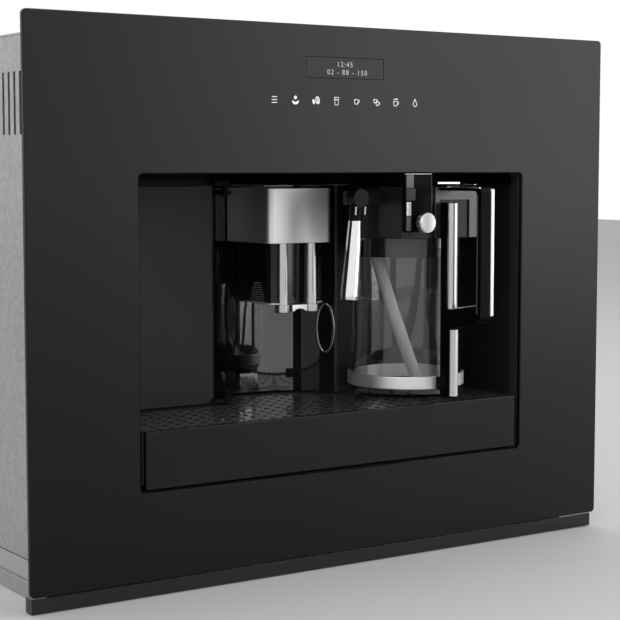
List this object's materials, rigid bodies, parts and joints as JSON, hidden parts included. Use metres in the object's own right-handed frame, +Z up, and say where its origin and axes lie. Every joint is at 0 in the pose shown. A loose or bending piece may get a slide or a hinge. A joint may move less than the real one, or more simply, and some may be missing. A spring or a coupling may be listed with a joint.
{
  "type": "built in coffee machine",
  "caption": "Built-in coffee machine: black glass front, cup niche with height-adjustable spout on a swing door, drip tray, milk jug, and a casing that slides out on rails.",
  "frame": {"origin": "centre of the underside of the mounting base", "axes": "+Z up, the glass front faces -Y, +X to the right as seen from the front"},
  "size_m": [0.595, 0.458, 0.469],
  "materials": {
    "zinc_sheet": "satin",
    "rail_steel": "satin",
    "steel": "brushed",
    "chrome": "polished",
    "front_glass": "black back-printed glass, polished",
    "black_gloss": "high gloss",
    "black_matt": "matt",
    "grey_plastic": "matt",
    "red_plastic": "matt",
    "green_board": "matt",
    "clear_glass": "polished",
    "smoke_plastic": "clear, lightly tinted",
    "display": "polished"
  },
  "bodies": {
    "base": {"base_plate": "zinc_sheet", "lower_trim": "black_gloss", "fixed_rail_left": "rail_steel", "fixed_rail_right": "rail_steel"},
    "mid_rails": {"mid_rail_left": "rail_steel", "mid_rail_right": "rail_steel"},
    "machine": {"inner_rail_left": "rail_steel", "inner_rail_right": "rail_steel", "chassis_pan": "zinc_sheet", "side_cover_left": "zinc_sheet", "side_cover_right": "zinc_sheet", "rear_cover": "zinc_sheet", "top_cover": "zinc_sheet", "front_frame": "black_matt", "glass_front": "front_glass", "display_window": "display", "control_board": "green_board", "liner_left": "black_gloss", "liner_right": "black_gloss", "niche_ceiling": "black_gloss", "door_button_bezel": "chrome", "tray_bay": "black_matt", "steam_nozzle": "black_matt", "bean_hopper": "smoke_plastic", "grinder": "grey_plastic", "boiler": "rail_steel", "pump": "zinc_sheet", "infuser_frame": "grey_plastic", "power_inlet": "black_matt"},
    "door": {"service_door": "black_gloss", "spout_band": "steel", "spout_core": "black_gloss"},
    "carriage": {"spout_carriage": "black_gloss", "spout_tube_left": "chrome", "spout_tube_right": "chrome", "spout_bridge": "chrome"},
    "door_button": {"door_button": "black_gloss"},
    "hopper_lid": {"hopper_lid": "smoke_plastic"},
    "powder_flap": {"powder_flap": "black_matt"},
    "grind_knob": {"grind_knob": "black_matt"},
    "tray": {"drip_tray": "black_matt", "tray_front": "black_gloss", "cup_grate": "black_matt"},
    "grounds_container": {"grounds_container": "black_matt"},
    "level_float": {"level_float": "red_plastic"},
    "jug": {"jug_glass": "clear_glass", "jug_ring": "steel", "jug_lid": "black_gloss", "lid_fascia": "steel", "frother_tower": "black_gloss", "jug_handle": "black_matt", "milk_tube": "clear_glass"},
    "froth_knob": {"froth_knob": "chrome"},
    "clean_lever": {"clean_lever": "chrome"},
    "milk_spout": {"milk_spout": "chrome"},
    "water_tank": {"water_tank": "smoke_plastic"},
    "tank_lid": {"tank_lid": "black_matt"},
    "infuser_piston": {"infuser_piston": "rail_steel"},
    "main_switch": {"main_switch": "black_gloss"}
  },
  "joints": [
    {"name": "machine_slide", "type": "slide", "parent": "base", "child": "machine", "axis": [0, -1, 0], "range_m": [0, 0.32]},
    {"name": "mid_rail_slide", "type": "slide", "parent": "base", "child": "mid_rails", "axis": [0, -1, 0], "range_m": [0, 0.16]},
    {"name": "door_hinge", "type": "hinge", "parent": "machine", "child": "door", "pos_m": [-0.056, -0.092, 0.23], "axis": [0, 0, -1], "range_deg": [0, 95]},
    {"name": "carriage_slide", "type": "slide", "parent": "door", "child": "carriage", "axis": [0, 0, 1], "range_m": [-0.012, 0.035]},
    {"name": "door_button_press", "type": "slide", "parent": "machine", "child": "door_button", "axis": [0.809, 0.5878, 0], "range_m": [0, 0.003], "stiffness_N_per_m": 400, "springref_m": -0.001},
    {"name": "tray_slide", "type": "slide", "parent": "machine", "child": "tray", "axis": [0, -1, 0], "range_m": [0, 0.26]},
    {"name": "grounds_lift", "type": "slide", "parent": "tray", "child": "grounds_container", "axis": [0, 0, 1], "range_m": [0, 0.045]},
    {"name": "float_rise", "type": "slide", "parent": "tray", "child": "level_float", "axis": [0, 0, 1], "range_m": [0, 0.006]},
    {"name": "hopper_lid_hinge", "type": "hinge", "parent": "machine", "child": "hopper_lid", "pos_m": [-0.04, 0.141, 0.4572], "axis": [-1, 0, 0], "range_deg": [0, 90]},
    {"name": "powder_flap_hinge", "type": "hinge", "parent": "machine", "child": "powder_flap", "pos_m": [0.116, 0.051, 0.4572], "axis": [-1, 0, 0], "range_deg": [0, 75]},
    {"name": "grind_dial", "type": "hinge", "parent": "machine", "child": "grind_knob", "pos_m": [0.112, 0.1, 0.46], "axis": [0, 0, 1], "range_deg": [0, 270]},
    {"name": "jug_slide", "type": "slide", "parent": "machine", "child": "jug", "axis": [0, -1, 0], "range_m": [0, 0.22]},
    {"name": "froth_dial", "type": "hinge", "parent": "jug", "child": "froth_knob", "pos_m": [0.0745, -0.216, 0.3005], "axis": [0, -1, 0], "range_deg": [-90, 90]},
    {"name": "clean_lever_swivel", "type": "hinge", "parent": "jug", "child": "clean_lever", "pos_m": [0.104, -0.19, 0.335], "axis": [0, 0, 1], "range_deg": [0, 30]},
    {"name": "milk_spout_swing", "type": "hinge", "parent": "jug", "child": "milk_spout", "pos_m": [0.026, -0.181, 0.322], "axis": [0, -1, 0], "range_deg": [-6, 18]},
    {"name": "tank_slide", "type": "slide", "parent": "machine", "child": "water_tank", "axis": [1, 0, 0], "range_m": [0, 0.14]},
    {"name": "tank_lid_hinge", "type": "hinge", "parent": "water_tank", "child": "tank_lid", "pos_m": [0.21, 0.114, 0.349], "axis": [-1, 0, 0], "range_deg": [0, 80]},
    {"name": "piston_lift", "type": "slide", "parent": "machine", "child": "infuser_piston", "axis": [0, 0, 1], "range_m": [0, 0.03]},
    {"name": "switch_rocker", "type": "hinge", "parent": "machine", "child": "main_switch", "pos_m": [-0.19, 0.187, 0.11], "axis": [1, 0, 0], "range_deg": [0, 10]}
  ],
  "couplings": [
    {"joint": "mid_rail_slide", "follows": "machine_slide", "ratio": 0.5}
  ]
}
